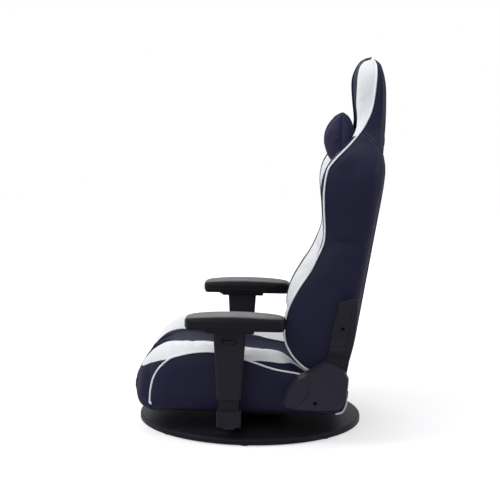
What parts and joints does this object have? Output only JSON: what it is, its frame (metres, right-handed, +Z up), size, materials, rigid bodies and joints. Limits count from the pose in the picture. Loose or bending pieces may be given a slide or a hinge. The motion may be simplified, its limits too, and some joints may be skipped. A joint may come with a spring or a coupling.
{
  "type": "floor gaming chair",
  "caption": "Legless bucket chair on a flat swivelling disc, with a reclining winged backrest, height-adjustable armrests with sliding pads, and a neck pillow.",
  "frame": {"origin": "centre of the base disc at floor level, on the swivel axis", "axes": "+Z up, -Y the way the chair faces, +X the sitter's left; the chair stands on z = 0"},
  "size_m": [0.665, 0.6308, 0.9621],
  "materials": {
    "navy_cover": "satin",
    "pillow_cover": "satin",
    "white_piping": "satin",
    "webbing": "matte",
    "under_cloth": "matte",
    "frame_steel": "satin",
    "disc_steel": "satin",
    "zinc_steel": "satin",
    "charcoal_plastic": "matte",
    "pad_skin": "satin",
    "floor_rubber": "matte"
  },
  "bodies": {
    "base": {"base_disc": "disc_steel", "base_ribs": "frame_steel", "floor_pads": "floor_rubber", "bearing_lower_plate": "zinc_steel", "bearing_balls": "zinc_steel", "bearing_cage": "frame_steel", "base_bolts": "zinc_steel"},
    "seat": {"bearing_upper_plate": "zinc_steel", "hub_bolts": "zinc_steel", "seat_mount": "disc_steel", "seat_frame": "frame_steel", "seat_webbing": "webbing", "seat_bottom_cloth": "under_cloth", "seat_cushion": "navy_cover", "seat_piping_left": "white_piping", "seat_piping_right": "white_piping", "recliner_lower_plate_left": "frame_steel", "recliner_lower_plate_right": "frame_steel", "recliner_pivot_left": "zinc_steel", "recliner_pivot_right": "zinc_steel", "hinge_cover_left": "charcoal_plastic", "hinge_cover_right": "charcoal_plastic", "hinge_cover_screws": "zinc_steel", "seat_plate_bolts": "zinc_steel", "return_spring": "frame_steel", "recline_lever_pin": "zinc_steel", "arm_bracket_left": "frame_steel", "arm_bracket_right": "frame_steel", "arm_bracket_bolts": "zinc_steel", "arm_foot_cover_left": "charcoal_plastic", "arm_foot_cover_right": "charcoal_plastic", "arm_post_left": "charcoal_plastic", "arm_post_right": "charcoal_plastic"},
    "backrest": {"back_frame": "frame_steel", "back_webbing": "webbing", "back_cushion": "navy_cover", "back_piping_left": "white_piping", "back_piping_right": "white_piping", "recliner_upper_plate_left": "frame_steel", "recliner_sector_plate_right": "frame_steel", "back_arm_cover_left": "charcoal_plastic", "back_arm_cover_right": "charcoal_plastic", "back_plate_bolts": "zinc_steel", "back_cover_screws": "zinc_steel", "neck_pillow": "pillow_cover"},
    "lever": {"recline_lever": "frame_steel", "lever_grip": "charcoal_plastic"},
    "arm_left": {"arm_housing_left": "charcoal_plastic", "pad_rail_left": "charcoal_plastic"},
    "arm_right": {"arm_housing_right": "charcoal_plastic", "pad_rail_right": "charcoal_plastic"},
    "trigger_left": {"height_trigger_left": "charcoal_plastic"},
    "trigger_right": {"height_trigger_right": "charcoal_plastic"},
    "pad_left": {"pad_base_left": "charcoal_plastic", "arm_pad_left": "pad_skin"},
    "pad_right": {"pad_base_right": "charcoal_plastic", "arm_pad_right": "pad_skin"},
    "button_left": {"pad_button_left": "charcoal_plastic"},
    "button_right": {"pad_button_right": "charcoal_plastic"}
  },
  "joints": [
    {"name": "base_swivel", "type": "hinge", "parent": "base", "child": "seat", "pos_m": [0, 0, 0.034], "axis": [0, 0, 1], "continuous": true},
    {"name": "backrest_recline", "type": "hinge", "parent": "seat", "child": "backrest", "pos_m": [0, 0.212, 0.16], "axis": [-1, 0, 0], "range_deg": [0, 70]},
    {"name": "recline_lever_lift", "type": "hinge", "parent": "seat", "child": "lever", "pos_m": [0, 0.135, 0.128], "axis": [-1, 0, 0], "range_deg": [0, 8], "stiffness_Nm_per_rad": 2, "springref_deg": -11.46},
    {"name": "arm_left_height", "type": "slide", "parent": "seat", "child": "arm_left", "axis": [0, 0, 1], "range_m": [-0.028, 0.042]},
    {"name": "trigger_left_lift", "type": "slide", "parent": "arm_left", "child": "trigger_left", "axis": [0, 0, 1], "range_m": [0, 0.005], "stiffness_N_per_m": 600, "springref_m": -0.002},
    {"name": "pad_left_slide", "type": "slide", "parent": "arm_left", "child": "pad_left", "axis": [0, 1, 0], "range_m": [-0.025, 0.025]},
    {"name": "button_left_press", "type": "slide", "parent": "arm_left", "child": "button_left", "axis": [0, 1, 0], "range_m": [0, 0.003], "stiffness_N_per_m": 800, "springref_m": -0.001},
    {"name": "arm_right_height", "type": "slide", "parent": "seat", "child": "arm_right", "axis": [0, 0, 1], "range_m": [-0.028, 0.042]},
    {"name": "trigger_right_lift", "type": "slide", "parent": "arm_right", "child": "trigger_right", "axis": [0, 0, 1], "range_m": [0, 0.005], "stiffness_N_per_m": 600, "springref_m": -0.002},
    {"name": "pad_right_slide", "type": "slide", "parent": "arm_right", "child": "pad_right", "axis": [0, 1, 0], "range_m": [-0.025, 0.025]},
    {"name": "button_right_press", "type": "slide", "parent": "arm_right", "child": "button_right", "axis": [0, 1, 0], "range_m": [0, 0.003], "stiffness_N_per_m": 800, "springref_m": -0.001}
  ]
}
